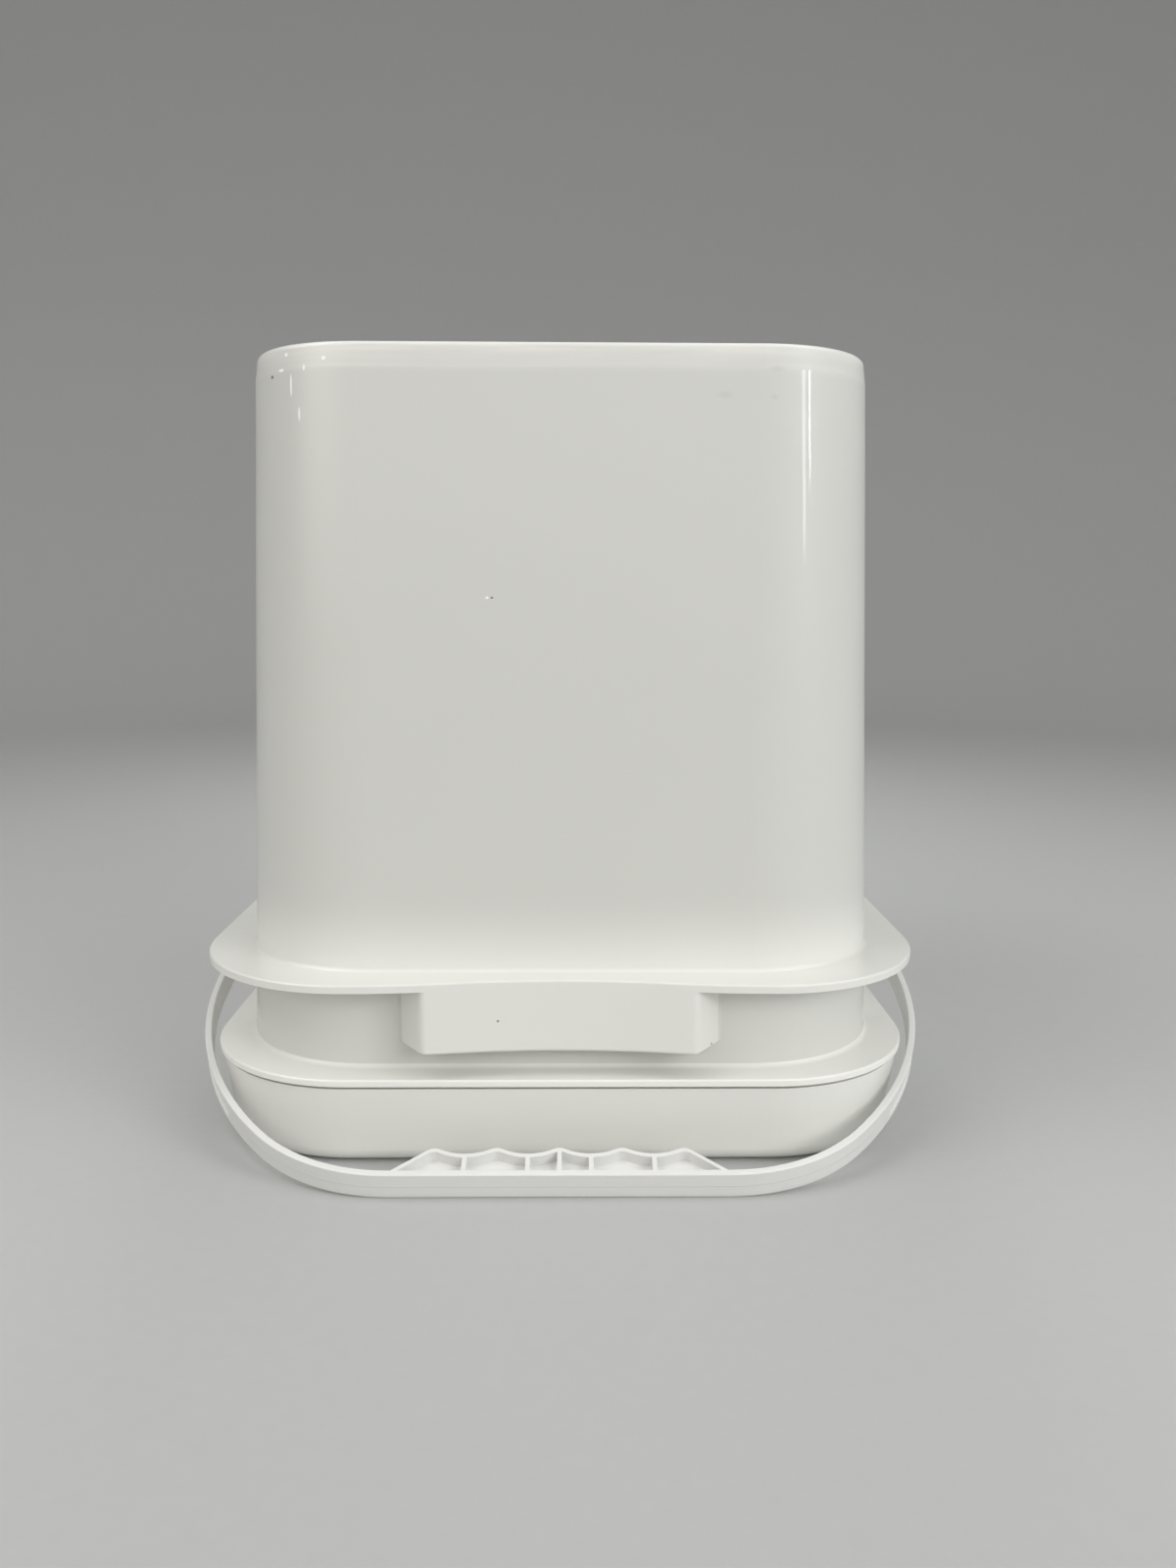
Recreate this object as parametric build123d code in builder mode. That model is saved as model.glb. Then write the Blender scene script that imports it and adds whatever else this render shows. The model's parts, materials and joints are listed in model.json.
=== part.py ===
import os
from math import asin, atan2, cos, degrees, hypot, radians, sin, tan

from build123d import *

os.makedirs("parts", exist_ok=True)

# Square moulded pail, shown upside down on its slip-on lid, with the bail lying forward on the floor.
# Millimetres and degrees. Z = 0 is the lid's closed face, X = Y = 0 its centre, and -Y is the front.

# Pail wall. Width, depth and corner are those of the outside where the carrying flange meets it.
body_width = 247.0
body_depth = 247.0
body_corner = 52.0
body_height = 224.0
body_draft = 2.1
wall = 2.0
heel_height = 9.0
heel_inset = 0.8
heel_round = 2.0
foot_width = 7.0
foot_recess = 3.0
base_thick = 2.5
inside_round = 5.0

# Carrying flange, hollowed along its front and back edges so that the grip can pass
carry_overhang = 16.5
carry_corner = 62.0
carry_hollow = 6.0
carry_thick = 3.0
carry_fillet = 1.5
carry_round = 0.7

# Neck between the flanges, and the rim flange over the lid
neck_height = 33.4
rim_overhang = 12.6
rim_corner = 59.0
rim_thick = 2.9
rim_fillet = 2.0
rim_round = 0.7

# Hollow lugs on the front and back of the neck, and narrower ones at the sides as ears for the bail
lug_face_width = 97.0
lug_root_width = 122.0
lug_height = 23.8
lug_round = 3.0
lug_foot_round = 1.2
ear_face_width = 34.0
ear_root_width = 50.0
ear_height = 28.0
lug_wall = 2.4

# Lid
lid_height = 30.8
lid_gap = 1.0
lid_setback = 1.2
lid_draft = 8.5
lid_wall = 2.2
lid_edge_round = 6.5
plug_height = 14.0
plug_wall = 2.0
plug_clear = 0.35

# Seal ring round the lid's plug, under the pail's lip
seal_width = 2.8
seal_thick = 1.8
seal_clear = 0.1
lip_gap = 0.3

# Bail: a flat strap with the finger grip moulded along its front
strap_width = 10.3
strap_thick = 2.7
strap_round = 0.5
leg_gap = 7.3
front_gap = 25.5
corner_ease = 28.0
corner_turn = 45.0
tight_share = 0.78
channel_turn = 35.0
channel_depth = 0.8
channel_rim = 1.7
channel_start = 16.0

# Finger grip
finger_count = 4
finger_pitch = 22.3
finger_depth = 3.6
crest_round = 4.0
grip_depth = 14.1
grip_ramp = 15.4
grip_wall = 1.8
grip_web = 2.0
grip_rib = 1.6

# Bail pivots
eye_radius = 9.0
boss_radius = 7.5
boss_clear = 0.35
stud_radius = 5.0
stud_clear = 0.1
head_radius = 6.4
head_thick = 1.8
head_clear = 0.3

overrun = 5.0

# Levels, from the floor up
rim_z = lid_height + lid_gap
neck_z = rim_z + rim_thick
carry_z = neck_z + neck_height
body_z = carry_z + carry_thick
base_z = body_z + body_height
heel_z = base_z - heel_height
panel_z = base_z - foot_recess
floor_z = panel_z - base_thick
lip_z = lid_wall + seal_thick + lip_gap
plug_z = lid_wall + plug_height
lug_z = carry_z - lug_height
ear_z = carry_z - ear_height
pivot_z = neck_z + neck_height / 2


def lean(z):
    """How far the outside of the wall has drawn in at height z, against its size at the carrying flange."""
    return (z - body_z) * tan(radians(body_draft))


def wall_section(z, inset, mode=Mode.ADD):
    """The wall's rounded square at height z, drawn in by a further inset."""
    shrink = lean(z) + inset
    RectangleRounded(body_width - 2 * shrink, body_depth - 2 * shrink, body_corner - shrink, mode=mode)


def flat_face(solid, z):
    """The largest of the level faces nearest to height z."""
    level = solid.faces().filter_by(Axis.Z).group_by(lambda face: round(abs(face.center().Z - z), 3))
    return level[0].sort_by(SortBy.AREA)[-1]


def side_plane(side, x):
    """Plane square to X on the right (side 1) or the left (side -1), facing out, on the pivot axis."""
    return Plane(origin=(side * x, 0, pivot_z), x_dir=(0, side, 0), z_dir=(side, 0, 0))


heel_draft = degrees(atan2(lean(base_z) - lean(heel_z) + heel_inset, heel_height))
carry_half_x = body_width / 2 + carry_overhang
carry_half_y = body_depth / 2 + carry_overhang
carry_straight = carry_half_x - carry_corner
bow_turn = 2 * degrees(atan2(carry_hollow, carry_straight))
bow_radius = carry_straight / (2 * sin(radians(bow_turn)))
rim_width = body_width - 2 * lean(neck_z) + 2 * rim_overhang
rim_depth = body_depth - 2 * lean(neck_z) + 2 * rim_overhang

# Outline of the carrying flange: straight sides, round corners, front and back edges bowed inwards
with BuildSketch() as carry_plan:
    with BuildLine():
        edge = Line((carry_half_x, 0), (carry_half_x, carry_corner - carry_half_y))
        turn = JernArc(edge @ 1, edge % 1, carry_corner, -90)
        bow = JernArc(turn @ 1, turn % 1, bow_radius, -bow_turn)
        JernArc(bow @ 1, bow % 1, bow_radius, bow_turn)
        mirror(about=Plane.YZ)
        mirror(about=Plane.XZ)
    make_face()

# Footprint of the front and back lugs: splayed sides, and a face that follows the flange's edge
lug_root = body_depth / 2 - lean(lug_z) - wall
lug_reach = carry_half_y - lug_root
lug_splay = degrees(atan2(lug_reach, (lug_root_width - lug_face_width) / 2))
lug_pocket_width = lug_root_width - 2 * lug_wall / sin(radians(lug_splay))
with BuildSketch() as lug_plan:
    with Locations((0, lug_root)):
        Trapezoid(lug_root_width, lug_reach, lug_splay, align=(Align.CENTER, Align.MIN))
    add(carry_plan.sketch, mode=Mode.INTERSECT)
    fillet(lug_plan.vertices().group_by(Axis.Y)[-1], radius=lug_round)
    mirror(about=Plane.XZ)
with BuildSketch() as lug_pocket:
    with Locations((0, lug_root)):
        Trapezoid(lug_pocket_width, lug_reach, lug_splay, align=(Align.CENTER, Align.MIN))
    with Locations((0, -lug_wall)):
        add(carry_plan.sketch, mode=Mode.INTERSECT)
    wall_section(lug_z, 0, mode=Mode.SUBTRACT)
    mirror(about=Plane.XZ)

# Footprint of the bail ears on the sides
ear_root = body_width / 2 - lean(ear_z) - wall
ear_reach = carry_half_x - ear_root
ear_splay = degrees(atan2(ear_reach, (ear_root_width - ear_face_width) / 2))
ear_pocket_width = ear_root_width - 2 * lug_wall / sin(radians(ear_splay))
with BuildSketch() as ear_plan:
    with Locations((ear_root, 0)):
        Trapezoid(ear_root_width, ear_reach, ear_splay, rotation=-90, align=(Align.CENTER, Align.MIN))
    fillet(ear_plan.vertices().group_by(Axis.X)[-1], radius=lug_round)
    mirror(about=Plane.YZ)
with BuildSketch() as ear_pocket:
    with Locations((ear_root, 0)):
        Trapezoid(ear_pocket_width, ear_reach - lug_wall, ear_splay, rotation=-90,
                  align=(Align.CENTER, Align.MIN))
    wall_section(ear_z, 0, mode=Mode.SUBTRACT)
    mirror(about=Plane.YZ)

# Pail: drafted wall with a heel, both flanges, lugs and ears, hollowed from the mouth
with BuildPart() as bucket:
    with BuildSketch(Plane.XY.offset(lip_z)):
        wall_section(lip_z, 0)
    extrude(amount=heel_z - lip_z, taper=body_draft)
    with BuildSketch(Plane.XY.offset(heel_z)):
        wall_section(heel_z, 0)
    extrude(amount=heel_height, taper=heel_draft)
    with BuildSketch(Plane.XY.offset(carry_z)):
        add(carry_plan.sketch)
    extrude(amount=carry_thick)
    with BuildSketch(Plane.XY.offset(rim_z)):
        RectangleRounded(rim_width, rim_depth, rim_corner)
    extrude(amount=rim_thick)
    fillet(flat_face(bucket, body_z).inner_wires()[0].edges(), radius=carry_fillet)
    fillet(flat_face(bucket, body_z).outer_wire().edges(), radius=carry_round)
    fillet(flat_face(bucket, neck_z).inner_wires()[0].edges(), radius=rim_fillet)
    fillet(flat_face(bucket, neck_z).outer_wire().edges(), radius=rim_round)
    fillet(flat_face(bucket, rim_z).outer_wire().edges(), radius=rim_round)
    fillet(flat_face(bucket, base_z).outer_wire().edges(), radius=heel_round)

    # Lugs and ears, then the pockets that leave them one wall thick
    with BuildSketch(Plane.XY.offset(lug_z)):
        add(lug_plan.sketch)
    extrude(amount=lug_height)
    with BuildSketch(Plane.XY.offset(ear_z)):
        add(ear_plan.sketch)
    extrude(amount=ear_height)
    lug_feet = bucket.faces().filter_by(Axis.Z).group_by(lambda face: round(abs(face.center().Z - lug_z), 3))[0]
    lug_rim = lug_feet.edges().filter_by(lambda edge: abs(edge.center().Y) > lug_root + 2 * wall)
    fillet(lug_rim, radius=lug_foot_round)
    with BuildSketch(Plane.XY.offset(lug_z)):
        add(lug_pocket.sketch)
    extrude(amount=lug_height, mode=Mode.SUBTRACT)
    with BuildSketch(Plane.XY.offset(ear_z)):
        add(ear_pocket.sketch)
    extrude(amount=ear_height, mode=Mode.SUBTRACT)
    for side in (1, -1):
        with BuildSketch(side_plane(side, carry_half_x + overrun)):
            Circle(stud_radius + stud_clear)
        extrude(amount=-lug_wall - 2 * overrun, mode=Mode.SUBTRACT)

    # Inside of the pail, and the recess in its base that leaves a standing foot
    with BuildSketch(Plane.XY.offset(lip_z)):
        wall_section(lip_z, wall)
    extrude(amount=floor_z - lip_z, taper=body_draft, mode=Mode.SUBTRACT)
    fillet(flat_face(bucket, floor_z).outer_wire().edges(), radius=inside_round)
    with BuildSketch(Plane.XY.offset(panel_z)):
        wall_section(base_z, heel_inset + foot_width)
    extrude(amount=foot_recess + overrun, mode=Mode.SUBTRACT)

# Lid: drafted tray with a round edge, and the plug that enters the mouth
lid_width = rim_width - 2 * lid_setback
lid_depth = rim_depth - 2 * lid_setback
lid_corner = rim_corner - lid_setback
lid_skin = lid_wall / cos(radians(lid_draft))
plug_shrink = lean(plug_z) + wall + plug_clear
plug_width = body_width - 2 * plug_shrink
plug_depth = body_depth - 2 * plug_shrink
plug_corner = body_corner - plug_shrink
with BuildPart() as lid:
    with BuildSketch(Plane.XY.offset(lid_height)):
        RectangleRounded(lid_width, lid_depth, lid_corner)
    extrude(amount=-lid_height, taper=lid_draft)
    fillet(flat_face(lid, 0).edges(), radius=lid_edge_round)
    with BuildSketch(Plane.XY.offset(lid_height)):
        RectangleRounded(lid_width - 2 * lid_skin, lid_depth - 2 * lid_skin, lid_corner - lid_skin)
    extrude(amount=lid_wall - lid_height, taper=lid_draft, mode=Mode.SUBTRACT)
    fillet(flat_face(lid, lid_wall).edges(), radius=lid_edge_round - lid_wall)
    with BuildSketch(Plane.XY.offset(lid_wall)):
        RectangleRounded(plug_width, plug_depth, plug_corner)
        offset(amount=-plug_wall, mode=Mode.SUBTRACT)
    extrude(amount=plug_height)

# Seal ring lying on the lid's face round the plug
with BuildPart() as lid_seal:
    with BuildSketch(Plane.XY.offset(lid_wall)):
        for grow, mode in ((seal_clear + seal_width, Mode.ADD), (seal_clear, Mode.SUBTRACT)):
            RectangleRounded(plug_width + 2 * grow, plug_depth + 2 * grow, plug_corner + grow, mode=mode)
    extrude(amount=seal_thick)

# Course of the bail's outer face: straight legs, then a wide and a tight arc into the straight front.
# The turn is longer than the flange's corner by an ease, unless the grip needs more of the front.
bail_half = carry_half_x + leg_gap + strap_thick
bail_reach = carry_half_y + front_gap
front_half = finger_count * finger_pitch / 2 + grip_ramp
corner_run = min(carry_corner + corner_ease, bail_half - front_half)
turn_sin = sin(radians(corner_turn))
turn_cos = cos(radians(corner_turn))
tight_radius = tight_share * corner_run
wide_radius = (corner_run - tight_radius * turn_sin) / (1 - turn_sin)
leg_run = bail_reach - tight_radius * (1 - turn_cos) - wide_radius * turn_cos

# The bail lies tilted about its pivots, with the outer lower edge of its front on the floor
bail_arm = hypot(bail_reach, strap_width / 2)
bail_tilt = asin(pivot_z / bail_arm) - atan2(strap_width / 2, bail_reach)
bail_plane = Plane(origin=(0, 0, pivot_z), x_dir=(1, 0, 0), z_dir=(0, -sin(bail_tilt), cos(bail_tilt)))

grip_root = strap_thick / 2 - bail_reach
grip_crest = grip_depth - bail_reach
finger_floor = grip_crest - finger_depth
crest_half = finger_count * finger_pitch / 2
finger_places = [(i - (finger_count - 1) / 2) * finger_pitch for i in range(finger_count)]

# Plan of the grip: straight ramps up from the strap, and a round crest between every two fingers
with BuildSketch() as grip_plan:
    with BuildLine():
        Polyline((crest_half, grip_crest), (front_half, grip_root), (-front_half, grip_root),
                 (-crest_half, grip_crest))
        for x in finger_places:
            ThreePointArc((x - finger_pitch / 2, grip_crest), (x, finger_floor),
                          (x + finger_pitch / 2, grip_crest))
    make_face()
    fillet(grip_plan.vertices().group_by(Axis.Y)[-1], radius=crest_round)

with BuildPart() as bail_handle:
    with BuildSketch(bail_plane):
        with BuildLine():
            leg = Line((bail_half, 0), (bail_half, -leg_run))
            wide = JernArc(leg @ 1, leg % 1, wide_radius, corner_turn - 90)
            tight = JernArc(wide @ 1, wide % 1, tight_radius, -corner_turn)
            Line(tight @ 1, (0, -bail_reach))
            mirror(about=Plane.YZ)
            offset(amount=strap_thick, side=Side.RIGHT)
        make_face()
    extrude(amount=strap_width / 2, both=True)
    strap_sides = bail_handle.faces().filter_by(Axis(bail_plane.origin, bail_plane.z_dir))
    fillet(strap_sides.edges(), radius=strap_round)

    # Shallow channel in the outer face of each leg
    with BuildSketch(bail_plane):
        with BuildLine():
            groove = Line((bail_half, -channel_start), (bail_half, -leg_run))
            JernArc(groove @ 1, groove % 1, wide_radius, -channel_turn)
            offset(amount=channel_depth, side=Side.RIGHT)
        make_face()
        mirror(about=Plane.YZ)
    extrude(amount=strap_width / 2 - channel_rim, both=True, mode=Mode.SUBTRACT)

    # Finger grip: a web on the strap's middle plane, the waved wall, and a rib at each finger
    with BuildSketch(bail_plane):
        add(grip_plan.sketch)
    extrude(amount=grip_web / 2, both=True)
    with BuildSketch(bail_plane):
        add(grip_plan.sketch)
        with Locations((0, -grip_wall)):
            add(grip_plan.sketch, mode=Mode.SUBTRACT)
    extrude(amount=strap_width / 2, both=True)
    with BuildSketch(bail_plane):
        with Locations((0, grip_root), *[(x, grip_root) for x in finger_places]):
            Rectangle(grip_rib, grip_depth, align=(Align.CENTER, Align.MIN))
        add(grip_plan.sketch, mode=Mode.INTERSECT)
    extrude(amount=strap_width / 2, both=True)

    # Eye, boss, stud and head of each pivot
    for side in (1, -1):
        with BuildSketch(side_plane(side, bail_half - strap_thick)):
            Circle(eye_radius)
        extrude(amount=strap_thick)
        with BuildSketch(side_plane(side, carry_half_x + boss_clear)):
            Circle(boss_radius)
        extrude(amount=leg_gap - boss_clear)
        with BuildSketch(side_plane(side, carry_half_x - lug_wall - head_clear)):
            Circle(stud_radius)
        extrude(amount=lug_wall + head_clear + boss_clear)
        with BuildSketch(side_plane(side, carry_half_x - lug_wall - head_clear - head_thick)):
            Circle(head_radius)
        extrude(amount=head_thick)

bucket.part.label = "bucket"
export_step(bucket.part, "parts/bucket.step")
lid.part.label = "lid"
export_step(lid.part, "parts/lid.step")
lid_seal.part.label = "lid_seal"
export_step(lid_seal.part, "parts/lid_seal.step")
bail_handle.part.label = "bail_handle"
export_step(bail_handle.part, "parts/bail_handle.step")
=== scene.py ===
import json
import math

import bpy
import numpy as np
from mathutils import Matrix, Vector

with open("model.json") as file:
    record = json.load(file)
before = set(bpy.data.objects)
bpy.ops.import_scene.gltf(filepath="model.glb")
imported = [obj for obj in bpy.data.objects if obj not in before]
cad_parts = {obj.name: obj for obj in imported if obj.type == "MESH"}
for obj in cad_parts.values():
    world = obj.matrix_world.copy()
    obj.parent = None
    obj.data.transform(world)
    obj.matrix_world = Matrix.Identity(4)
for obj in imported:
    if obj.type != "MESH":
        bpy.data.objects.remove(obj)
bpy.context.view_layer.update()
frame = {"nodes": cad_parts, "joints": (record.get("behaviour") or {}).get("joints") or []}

# A square white pail that stands mouth down on its lid, with its bail lying forward on the floor.
MM = 0.001

# The photograph's camera, in the frame's millimetres and in pixels of its 1200 by 1600 picture
PICTURE_HEIGHT_PX = 1600
FOCAL_PX = 1200
SENSOR_MM = 36
CAMERA_MM = (4.8, -541.2, 206.7)
CAMERA_TURN_DEG = 0.71
CAMERA_PITCH_DEG = 8.93
CAMERA_ROLL_DEG = 0.195

# The pail's levels above the floor, as the CAD has them
NECK_SPAN_MM = (36.0, 67.8)
NECK_HALF_WIDTH_MM = 126.2
# The levels over which the wall's painted shade fades in
WALL_PAINTED_SHADE_MM = (70.0, 100.0)
HEEL_FOOT_MM = (284.5, 286.5)
HEEL_EDGE_MM = (289.0, 295.0)

# The bail's hinge line and its slope at rest
bail_hinge = next(joint for joint in frame["joints"] if joint["name"] == "bail_swing")
BAIL_TILT_DEG = 16.3

# Spacing of the patterns that moulding leaves in plastic, and of the streaks in the heel's painted highlight
FLOW_MM = 55
RUB_MM = 18
SINK_MM = 45
PEEL_MM = 2.2
DRAW_LINE_MM = 1.6
HIGHLIGHT_STREAK_MM = 2.5
SEAM_HALF_WIDTHS_MM = (0.35, 0.1)

POLYPROPYLENE_IOR = 1.49


def linear(hex_colour):
    """An sRGB hex colour as linear RGBA: ((c + 0.055) / 1.055) ** 2.4 for each channel, or c / 12.92 in the
    dark."""
    srgb = np.array([int(hex_colour[i:i + 2], 16) for i in (1, 3, 5)]) / 255
    rgb = np.where(srgb <= 0.04045, srgb / 12.92, ((srgb + 0.055) / 1.055) ** 2.4)
    return (*rgb.tolist(), 1.0)


def add_node(tree, kind, inputs=None, **settings):
    """Adds one node, sets its properties, and gives each named input a value or a link from another node's
    socket."""
    node = tree.nodes.new(kind)
    for name, value in settings.items():
        setattr(node, name, value)
    for key, value in (inputs or {}).items():
        if isinstance(value, bpy.types.NodeSocket):
            tree.links.new(value, node.inputs[key])
        else:
            node.inputs[key].default_value = value
    return node


def new_material(name, **inputs):
    """An empty node material, as (material, tree, shader), with constants set on the shader's own sockets."""
    material = bpy.data.materials.new(name)
    material.use_nodes = True
    tree = material.node_tree
    tree.nodes.clear()
    shader = add_node(tree, "ShaderNodeBsdfPrincipled",
                      {key.replace("_", " "): value for key, value in inputs.items()})
    add_node(tree, "ShaderNodeOutputMaterial", {"Surface": shader.outputs["BSDF"]})
    return material, tree, shader


def paint(node_name, material):
    """Puts one material on a CAD node."""
    mesh = frame["nodes"][node_name].data
    mesh.materials.clear()
    mesh.materials.append(material)


def lay_over(tree, socket, mask, value):
    """Mixes a colour or a number over whatever feeds a shader's socket: (1 - mask) times what is below plus mask
    times the value."""
    below = socket.links[0].from_socket if socket.links else socket.default_value
    kind = "RGBA" if socket.type == "RGBA" else "FLOAT"
    mix = add_node(tree, "ShaderNodeMix", {"Factor": mask, "A": below, "B": value}, data_type=kind)
    tree.links.new(mix.outputs["Result"], socket)


def raise_by(tree, shader, pattern, height_mm):
    """Adds a pattern times a height in mm to the relief that bends a shader's normal."""
    bump = shader.inputs["Normal"].links[0].from_node
    below = bump.inputs["Height"].links[0].from_socket
    relief = add_node(tree, "ShaderNodeMath", {0: pattern, 1: height_mm, 2: below}, operation="MULTIPLY_ADD")
    tree.links.new(relief.outputs["Value"], bump.inputs["Height"])


def mark_mask(tree, place, marks, edge):
    """Mask of small blemishes: for each (middle, half sizes) in mm it is one inside that ellipsoid and falls to
    nought over the outer share of the radius that edge gives; the greatest of all of them counts."""
    mask = 0.0
    for middle, half_sizes in marks:
        local = add_node(tree, "ShaderNodeMapping",
                         {"Vector": place, "Location": [v * MM for v in middle],
                          "Scale": [v * MM for v in half_sizes]}, vector_type="TEXTURE")
        reach = add_node(tree, "ShaderNodeVectorMath", {0: local.outputs["Vector"]}, operation="LENGTH")
        spot = add_node(tree, "ShaderNodeMapRange",
                        {"Value": reach.outputs["Value"], "From Min": 1.0, "From Max": 1.0 - edge})
        mask = add_node(tree, "ShaderNodeMath", {0: spot.outputs["Result"], 1: mask},
                        operation="MAXIMUM").outputs["Value"]
    return mask


# Injection moulded white polypropylene: a milky body whose tone drifts slightly as the melt flowed, under a clear
# skin that mirrors the lights, with the faint sinks and fine orange peel that make such reflections waver.
def moulded_polypropylene(name, tone, drift_tone, roughness, coat, coat_roughness, sink_depth_mm, peel_depth_mm):
    """The material, its tree, its shader and its Object coordinates. The relief is the two noises times their
    depths, added."""
    material, tree, shader = new_material(name, IOR=POLYPROPYLENE_IOR, Coat_Weight=coat,
                                          Coat_IOR=POLYPROPYLENE_IOR, Coat_Roughness=coat_roughness)
    place = add_node(tree, "ShaderNodeTexCoord").outputs["Object"]
    flow = add_node(tree, "ShaderNodeTexNoise",
                    {"Vector": place, "Scale": 1 / (FLOW_MM * MM), "Detail": 4.0, "Roughness": 0.6})
    colour = add_node(tree, "ShaderNodeMix",
                      {"Factor": flow.outputs["Fac"], "A": linear(tone), "B": linear(drift_tone)}, data_type="RGBA")
    tree.links.new(colour.outputs["Result"], shader.inputs["Base Color"])

    rub = add_node(tree, "ShaderNodeTexNoise", {"Vector": place, "Scale": 1 / (RUB_MM * MM), "Detail": 5.0})
    spread = add_node(tree, "ShaderNodeMapRange",
                      {"Value": rub.outputs["Fac"], "From Min": 0.3, "From Max": 0.7,
                       "To Min": 0.8 * roughness, "To Max": 1.2 * roughness})
    tree.links.new(spread.outputs["Result"], shader.inputs["Roughness"])

    sinks = add_node(tree, "ShaderNodeTexNoise", {"Vector": place, "Scale": 1 / (SINK_MM * MM), "Detail": 1.0})
    peel = add_node(tree, "ShaderNodeTexNoise", {"Vector": place, "Scale": 1 / (PEEL_MM * MM), "Detail": 2.0})
    swell = add_node(tree, "ShaderNodeMath", {0: sinks.outputs["Fac"], 1: sink_depth_mm}, operation="MULTIPLY")
    relief = add_node(tree, "ShaderNodeMath",
                      {0: peel.outputs["Fac"], 1: peel_depth_mm, 2: swell.outputs["Value"]},
                      operation="MULTIPLY_ADD")
    bump = add_node(tree, "ShaderNodeBump", {"Height": relief.outputs["Value"], "Strength": 1.0, "Distance": MM})
    tree.links.new(bump.outputs["Normal"], shader.inputs["Normal"])
    tree.links.new(bump.outputs["Normal"], shader.inputs["Coat Normal"])
    return material, tree, shader, place


# The pail's skin came off a polished mould, so the coat is strong and clear.
pail_white, pail_tree, pail_shader, pail_place = moulded_polypropylene(
    "glossy_moulded_polypropylene", "#ebebe6", "#e8e8e2", roughness=0.40, coat=0.5, coat_roughness=0.05,
    sink_depth_mm=0.10, peel_depth_mm=0.002)
paint("bucket", pail_white)
pail_colour = pail_shader.inputs["Base Color"]
from_axis = add_node(pail_tree, "ShaderNodeVectorMath", {0: pail_place}, operation="ABSOLUTE")
reaches = add_node(pail_tree, "ShaderNodeSeparateXYZ", {"Vector": from_axis.outputs["Vector"]})
level = reaches.outputs["Z"]

# Painted shade: the wall and the neck between the flanges are painted in a greyer tone than the flanges and lugs,
#  which lie farther out than the neck's face.
PAINTED_SHADE_TONE = "#d5d5d0"
NECK_PAINTED_SHADE_SHARE = 0.7
half_width = add_node(pail_tree, "ShaderNodeMath", {0: reaches.outputs["X"], 1: reaches.outputs["Y"]},
                      operation="MAXIMUM")
neck_plan = add_node(pail_tree, "ShaderNodeMath", {0: half_width.outputs["Value"], 1: NECK_HALF_WIDTH_MM * MM},
                     operation="LESS_THAN")
neck_foot, neck_top = NECK_SPAN_MM
neck_level = add_node(pail_tree, "ShaderNodeMath",
                      {0: level, 1: (neck_foot + neck_top) / 2 * MM, 2: (neck_top - neck_foot) / 2 * MM},
                      operation="COMPARE")
shaded_neck_mask = add_node(pail_tree, "ShaderNodeMath",
                     {0: neck_plan.outputs["Value"], 1: neck_level.outputs["Value"]}, operation="MULTIPLY")
shaded_wall_mask = add_node(pail_tree, "ShaderNodeMapRange",
                     {"Value": level, "From Min": WALL_PAINTED_SHADE_MM[0] * MM, "From Max": WALL_PAINTED_SHADE_MM[1] * MM},
                     interpolation_type="SMOOTHSTEP")
painted_shade_mask = add_node(pail_tree, "ShaderNodeMath",
                {0: shaded_neck_mask.outputs["Value"], 1: NECK_PAINTED_SHADE_SHARE, 2: shaded_wall_mask.outputs["Result"]},
                operation="MULTIPLY_ADD")

# Painted highlight: the heel, where the wall meets the base, is kept out of the painted shade and painted lighter
#  towards its edge, in faint level streaks on its upright faces.
heel_foot_highlight = add_node(pail_tree, "ShaderNodeMapRange",
                     {"Value": level, "From Min": HEEL_FOOT_MM[0] * MM, "From Max": HEEL_FOOT_MM[1] * MM,
                      "To Max": 0.25})
heel_edge_highlight = add_node(pail_tree, "ShaderNodeMapRange",
                     {"Value": level, "From Min": HEEL_EDGE_MM[0] * MM, "From Max": HEEL_EDGE_MM[1] * MM,
                      "To Max": 0.6}, interpolation_type="SMOOTHSTEP")
heel_highlight = add_node(pail_tree, "ShaderNodeMath", {0: heel_foot_highlight.outputs["Result"], 1: heel_edge_highlight.outputs["Result"]},
                operation="ADD")
highlight_streak_stretch = add_node(pail_tree, "ShaderNodeMapping", {"Vector": pail_place, "Scale": (0.06, 0.06, 1.0)})
highlight_streak_noise = add_node(pail_tree, "ShaderNodeTexNoise",
                   {"Vector": highlight_streak_stretch.outputs["Vector"], "Scale": 1 / (HIGHLIGHT_STREAK_MM * MM), "Detail": 2.0})
highlight_streak = add_node(pail_tree, "ShaderNodeMapRange",
                  {"Value": highlight_streak_noise.outputs["Fac"], "From Min": 0.35, "From Max": 0.65,
                   "To Min": -0.5, "To Max": 0.3})
facing = add_node(pail_tree, "ShaderNodeSeparateXYZ",
                  {"Vector": add_node(pail_tree, "ShaderNodeTexCoord").outputs["Normal"]})
upright = add_node(pail_tree, "ShaderNodeMath", {0: 1.0, 1: facing.outputs["Z"]}, operation="SUBTRACT")
highlight_streak_on_uprights = add_node(pail_tree, "ShaderNodeMath",
                   {0: highlight_streak.outputs["Result"], 1: upright.outputs["Value"], 2: 1.0}, operation="MULTIPLY_ADD")
streaked_heel_highlight = add_node(pail_tree, "ShaderNodeMath", {0: heel_highlight.outputs["Value"], 1: highlight_streak_on_uprights.outputs["Value"]},
                      operation="MULTIPLY")
painted_shade_left = add_node(pail_tree, "ShaderNodeMath", {0: painted_shade_mask.outputs["Value"], 1: streaked_heel_highlight.outputs["Value"]},
                     operation="SUBTRACT", use_clamp=True)
# Lays the painted shade's greyer tone over the pail's own tone, except where the heel's painted highlight lifts it
lay_over(pail_tree, pail_colour, painted_shade_left.outputs["Value"], linear(PAINTED_SHADE_TONE))

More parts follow.
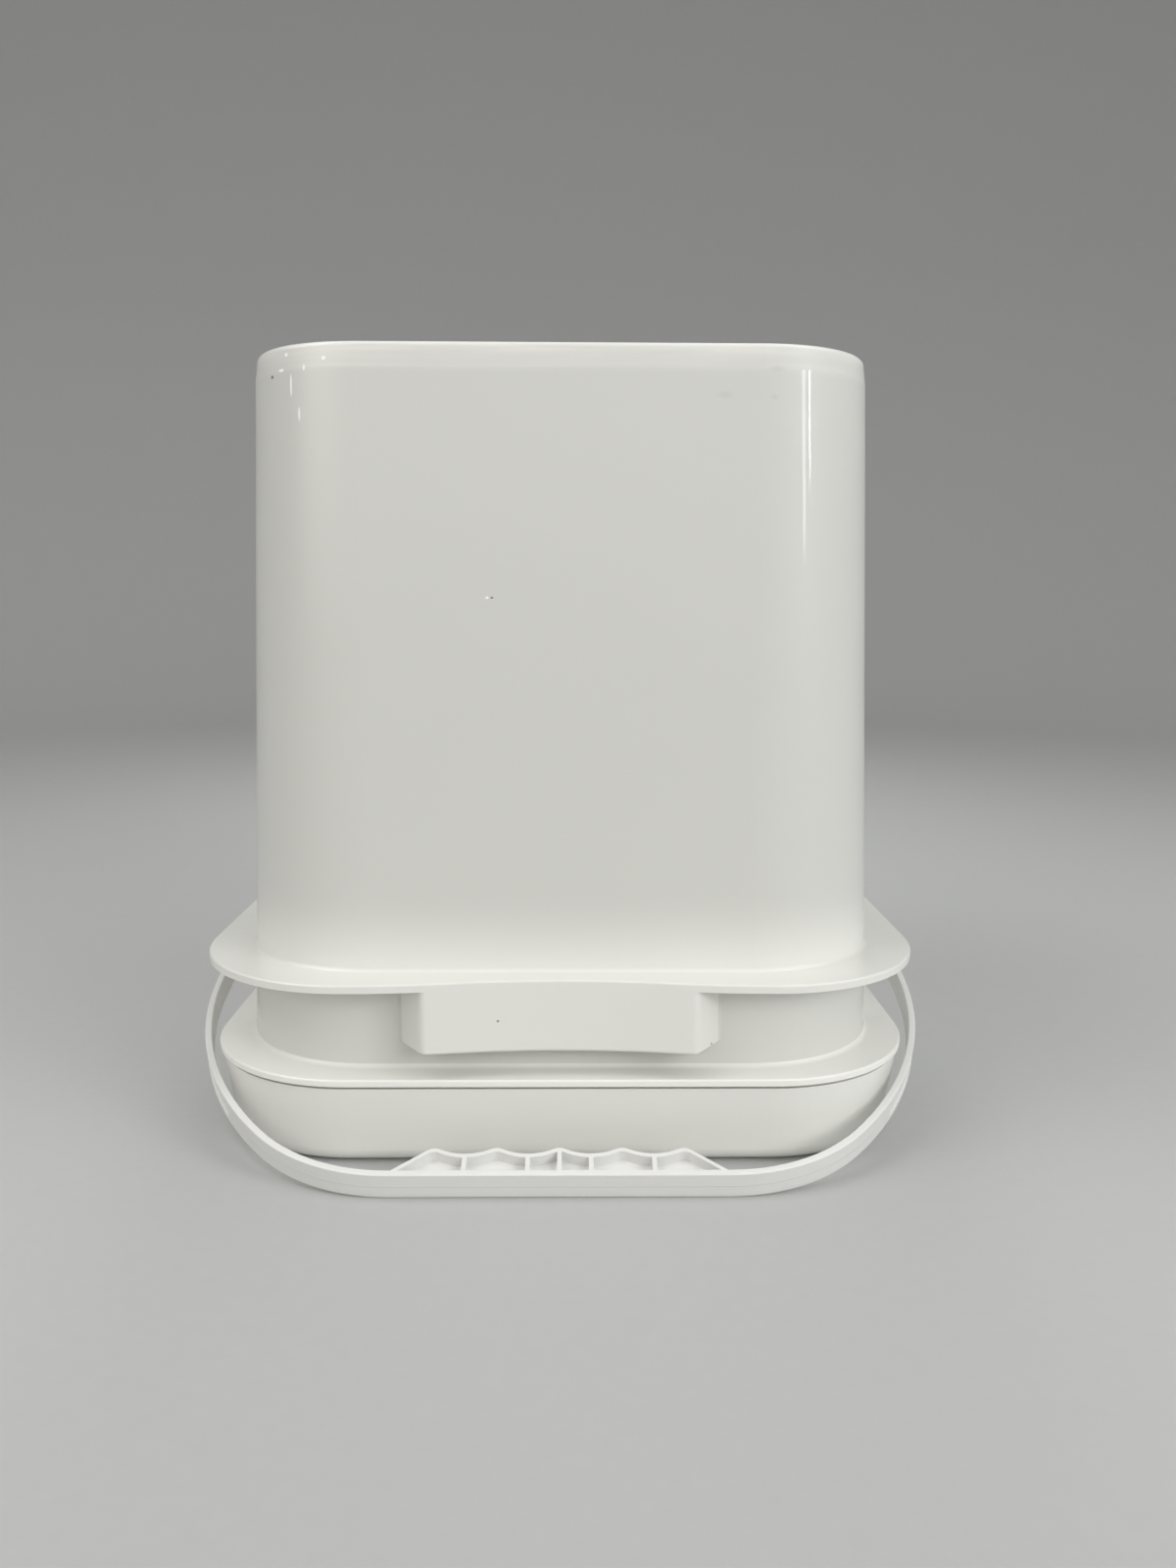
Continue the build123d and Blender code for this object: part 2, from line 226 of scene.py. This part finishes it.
# Painted light: the rim flange is painted the whitest, to lift it out of the shade that the carry flange and lugs
# cast on it.
rim = add_node(pail_tree, "ShaderNodeMath", {0: level, 1: neck_foot * MM}, operation="LESS_THAN")
lay_over(pail_tree, pail_colour, rim.outputs["Value"], linear("#f5f5f0"))

# Fine upright lines that the mould drew into the skin as the pail left it
drawn_upright = add_node(pail_tree, "ShaderNodeMapping", {"Vector": pail_place, "Scale": (1.0, 1.0, 0.01)})
draw_lines = add_node(pail_tree, "ShaderNodeTexNoise",
                      {"Vector": drawn_upright.outputs["Vector"], "Scale": 1 / (DRAW_LINE_MM * MM), "Detail": 3.0})
raise_by(pail_tree, pail_shader, draw_lines.outputs["Fac"], height_mm=0.0012)

# Wear on the pail, as middles and half sizes in mm: whitened scratches and knocks by its heel, grey smudges, and
# dark specks in the moulding
WHITE_MARKS = (((-96.8, -106.8, 291.5), (0.9, 0.9, 0.8)), ((-82.3, -113.9, 289.2), (0.9, 0.9, 0.8)),
               ((-98.9, -106.0, 286.3), (1.8, 1.4, 0.6)), ((-89.7, -111.6, 286.3), (0.5, 0.7, 1.2)),
               ((-94.9, -109.1, 280.8), (0.45, 0.7, 4.6)), ((-91.9, -111.3, 270.7), (0.45, 0.7, 2.8)),
               ((-26.0, -118.5, 207.1), (0.7, 0.6, 0.5)))
GREY_MARKS = (((57.6, -115.9, 277.2), (3.8, 1.5, 1.7)), ((74.9, -115.8, 276.6), (1.6, 1.2, 1.2)),
              ((75.7, -115.4, 286.2), (4.0, 1.5, 1.2)))
DARK_MARKS = (((-103.0, -102.4, 284.6), (0.8, 0.8, 0.7)), ((-24.3, -118.5, 207.1), (0.6, 0.5, 0.4)),
              ((-22.4, -135.0, 56.2), (0.5, 0.5, 0.5)), ((55.5, -130.1, 45.7), (0.6, 0.6, 0.5)))
for marks, mark_tone, strength, edge in ((WHITE_MARKS, "#ffffff", 1.0, 0.3), (GREY_MARKS, "#a8a8a4", 0.22, 0.9),
                                         (DARK_MARKS, "#4f4c47", 0.85, 0.3)):
    mark = mark_mask(pail_tree, pail_place, marks, edge)
    share = add_node(pail_tree, "ShaderNodeMath", {0: mark, 1: strength}, operation="MULTIPLY").outputs["Value"]
    lay_over(pail_tree, pail_colour, share, linear(mark_tone))
    lay_over(pail_tree, pail_shader.inputs["Coat Weight"], share, 0.0)

# The lid is thicker and opaque, so it is the whitest piece, and its skin is a little duller.
lid_white, *_ = moulded_polypropylene(
    "opaque_moulded_polypropylene", "#f2f2ed", "#eeeee9", roughness=0.42, coat=0.5, coat_roughness=0.10,
    sink_depth_mm=0.10, peel_depth_mm=0.003)
paint("lid", lid_white)

# The bail came from a spark eroded mould: satin, with a faint raised line where the two halves of the mould met.
bail_white, bail_tree, bail_shader, bail_place = moulded_polypropylene(
    "satin_moulded_polypropylene", "#e9e9e7", "#e5e5e2", roughness=0.45, coat=0.25, coat_roughness=0.18,
    sink_depth_mm=0.05, peel_depth_mm=0.004)
paint("bail_handle", bail_white)
bail_tilt = math.radians(BAIL_TILT_DEG)
from_hinge = add_node(bail_tree, "ShaderNodeVectorMath", {0: bail_place, 1: bail_hinge["pos_m"]},
                      operation="SUBTRACT")
off_plane = add_node(bail_tree, "ShaderNodeVectorMath",
                     {0: from_hinge.outputs["Vector"], 1: (0.0, -math.sin(bail_tilt), math.cos(bail_tilt))},
                     operation="DOT_PRODUCT")
seam_distance = add_node(bail_tree, "ShaderNodeMath", {0: off_plane.outputs["Value"]}, operation="ABSOLUTE")
seam = add_node(bail_tree, "ShaderNodeMapRange",
                {"Value": seam_distance.outputs["Value"], "From Min": SEAM_HALF_WIDTHS_MM[0] * MM,
                 "From Max": SEAM_HALF_WIDTHS_MM[1] * MM})
raise_by(bail_tree, bail_shader, seam.outputs["Result"], height_mm=0.10)

# The seal is a soft, matt ring of moulded rubber, with the same drift of tone and no clear skin.
seal_pale, *_ = moulded_polypropylene(
    "pale_thermoplastic_rubber", "#cfcfca", "#c8c8c2", roughness=0.70, coat=0.0, coat_roughness=0.30,
    sink_depth_mm=0.02, peel_depth_mm=0.02)
paint("lid_seal", seal_pale)


# Stage: one seamless bowl of pale paper
def surface_of_revolution(name, profile, steps):
    """Turns a profile of (radius, height) points about Z: x = r cos a, y = r sin a, z = h on a grid of angle and
    profile."""
    angle = np.linspace(0, 2 * np.pi, steps, endpoint=False)
    radius, height = np.array(profile, float).T
    grid = np.stack([np.outer(np.cos(angle), radius), np.outer(np.sin(angle), radius),
                     np.tile(height, (steps, 1))], axis=-1)
    turn, along = np.meshgrid(np.arange(steps), np.arange(len(radius) - 1), indexing="ij")
    here = turn * len(radius) + along
    after = (turn + 1) % steps * len(radius) + along
    quads = np.stack([after, after + 1, here + 1, here], axis=-1).reshape(-1, 4)
    mesh = bpy.data.meshes.new(name)
    mesh.from_pydata(grid.reshape(-1, 3).tolist(), [], quads.tolist())
    mesh.shade_smooth()
    piece = bpy.data.objects.new(name, mesh)
    bpy.context.scene.collection.objects.link(piece)
    return piece


FLOOR_RADII_M = (0.0, 0.4, 1.0)
COVE_START_M = 1.5
COVE_RADIUS_M = 1.0
WALL_TOP_M = 4.0
COVE_STEPS = 13
FLOOR_SIDES = 96
PAPER_FIBRE_MM = 6
floor_profile = [(radius, 0.0) for radius in FLOOR_RADII_M]
floor_profile += [(COVE_START_M + COVE_RADIUS_M * math.sin(turn), COVE_RADIUS_M * (1 - math.cos(turn)))
                  for turn in np.linspace(0, np.pi / 2, COVE_STEPS)]
floor_profile += [(COVE_START_M + COVE_RADIUS_M, WALL_TOP_M)]
floor = surface_of_revolution("floor", floor_profile, FLOOR_SIDES)

# Backdrop paper is matt, and its fibres only just vary its pale grey.
paper, paper_tree, paper_shader = new_material("pale_grey_backdrop_paper", Roughness=0.7)
paper_place = add_node(paper_tree, "ShaderNodeTexCoord").outputs["Object"]
fibres = add_node(paper_tree, "ShaderNodeTexNoise",
                  {"Vector": paper_place, "Scale": 1 / (PAPER_FIBRE_MM * MM), "Detail": 3.0})
paper_colour = add_node(paper_tree, "ShaderNodeMix",
                        {"Factor": fibres.outputs["Fac"], "A": linear("#bbbcbb"), "B": linear("#bfc0bf")},
                        data_type="RGBA")
paper_tree.links.new(paper_colour.outputs["Result"], paper_shader.inputs["Base Color"])
floor.data.materials.append(paper)


def soft_box(name, place, aim, size, power, feather, spread_deg=180.0, lean_deg=0.0, tone="#ffffff", mirrored=True):
    """An area light at place that faces aim, in metres, out of the camera's sight and leaning sideways by an angle.
    Its glow falls smoothly to nought towards the rim, over the outer share of its half sizes that feather gives,
    and its beam spreads by an angle, as behind a grid. One that isn't mirrored lights surfaces but shows no image
    in their gloss."""
    light = bpy.data.lights.new(name, "AREA")
    light.shape = "RECTANGLE"
    light.size, light.size_y = size
    light.energy = power
    light.spread = math.radians(spread_deg)
    light.color = linear(tone)[:3]
    light.use_nodes = True
    tree = light.node_tree
    spot = add_node(tree, "ShaderNodeNewGeometry").outputs["Parametric"]
    offset = add_node(tree, "ShaderNodeVectorMath", {0: spot, 1: (0.5, 0.5, 0.0)}, operation="SUBTRACT")
    reach = add_node(tree, "ShaderNodeVectorMath", {0: offset.outputs["Vector"]}, operation="ABSOLUTE")
    sides = add_node(tree, "ShaderNodeSeparateXYZ", {"Vector": reach.outputs["Vector"]})
    across, along = [add_node(tree, "ShaderNodeMapRange",
                              {"Value": sides.outputs[axis], "From Min": 0.5, "From Max": 0.5 * (1 - feather)},
                              interpolation_type="SMOOTHSTEP").outputs["Result"] for axis in ("X", "Y")]
    glow = add_node(tree, "ShaderNodeMath", {0: across, 1: along}, operation="MULTIPLY")
    tree.links.new(glow.outputs["Value"], tree.nodes["Emission"].inputs["Strength"])
    box = bpy.data.objects.new(name, light)
    direction = Vector(aim) - Vector(place)
    box.matrix_world = (Matrix.Translation(place) @ direction.to_track_quat("-Z", "Y").to_matrix().to_4x4()
                        @ Matrix.Rotation(math.radians(lean_deg), 4, "Z"))
    box.visible_camera = False
    box.visible_glossy = mirrored
    bpy.context.scene.collection.objects.link(box)


# Soft light from above, from both sides in front, and a narrower fill from behind
MIDDLE_M = (0.0, 0.0, 0.15)
UPPER_WALL_M = (0.0, 0.0, 0.3)
LOWER_WALL_M = (0.0, 0.0, 0.2)
OVER_M = (1.6, 1.6)
SIDE_M = (2.6, 1.8)
GRID_DEG = 110.0
soft_box("over_left", (-1.0, -0.3, 1.5), MIDDLE_M, OVER_M, 26.5, 0.8)
soft_box("over_right", (1.0, -0.3, 1.5), MIDDLE_M, OVER_M, 13.0, 0.8)
soft_box("right_front", (1.35, -1.35, 0.95), UPPER_WALL_M, SIDE_M, 27.0, 0.9, GRID_DEG, mirrored=False)
soft_box("left_front", (-1.35, -1.35, 0.95), UPPER_WALL_M, SIDE_M, 11.5, 0.9, GRID_DEG, tone="#fff9f2")
soft_box("front", (0.0, -1.75, 0.8), UPPER_WALL_M, (2.6, 1.4), 1.9, 0.9, GRID_DEG)
soft_box("behind", (0.0, 1.6, 0.6), LOWER_WALL_M, (1.4, 0.8), 4.5, 0.9, 60.0, mirrored=False)

# Two narrow upright strips far to the right, which the pail's round corner mirrors as a pair of fine lines
CORNER_M = (0.09, -0.11, 0.25)
STRIP_REACH_M = 1.4
STRIP_LEAN_DEG = 17.0
for name, turn_deg, height, size, power in (("strip_soft", 47.8, 0.543, (0.090, 0.46), 1.20),
                                            ("strip_sharp", 53.4, 0.607, (0.036, 0.34), 1.70)):
    turn = math.radians(turn_deg)
    place = (CORNER_M[0] + STRIP_REACH_M * math.sin(turn), CORNER_M[1] - STRIP_REACH_M * math.cos(turn), height)
    soft_box(name, place, CORNER_M, size, power, 0.5, lean_deg=STRIP_LEAN_DEG)

world = bpy.data.worlds.new("studio_air")
world.use_nodes = True
bpy.context.scene.world = world
background = world.node_tree.nodes["Background"]
background.inputs["Color"].default_value = linear("#ffffff")
background.inputs["Strength"].default_value = 0.55

# The camera stands where the photograph was taken.
camera = bpy.data.cameras.new("photograph_camera")
camera.sensor_width = SENSOR_MM
camera.lens = SENSOR_MM * FOCAL_PX / PICTURE_HEIGHT_PX
camera.clip_start = 0.01
camera_stand = bpy.data.objects.new("photograph_camera", camera)
camera_stand.matrix_world = (
    Matrix.Translation(Vector(CAMERA_MM) * MM)
    @ Matrix.Rotation(-math.radians(CAMERA_TURN_DEG), 4, "Z")
    @ Matrix.Rotation(math.radians(90 - CAMERA_PITCH_DEG), 4, "X")
    @ Matrix.Rotation(math.radians(CAMERA_ROLL_DEG), 4, "Z"))
bpy.context.scene.collection.objects.link(camera_stand)
bpy.context.scene.camera = camera_stand
bpy.context.scene.view_settings.view_transform = "Standard"
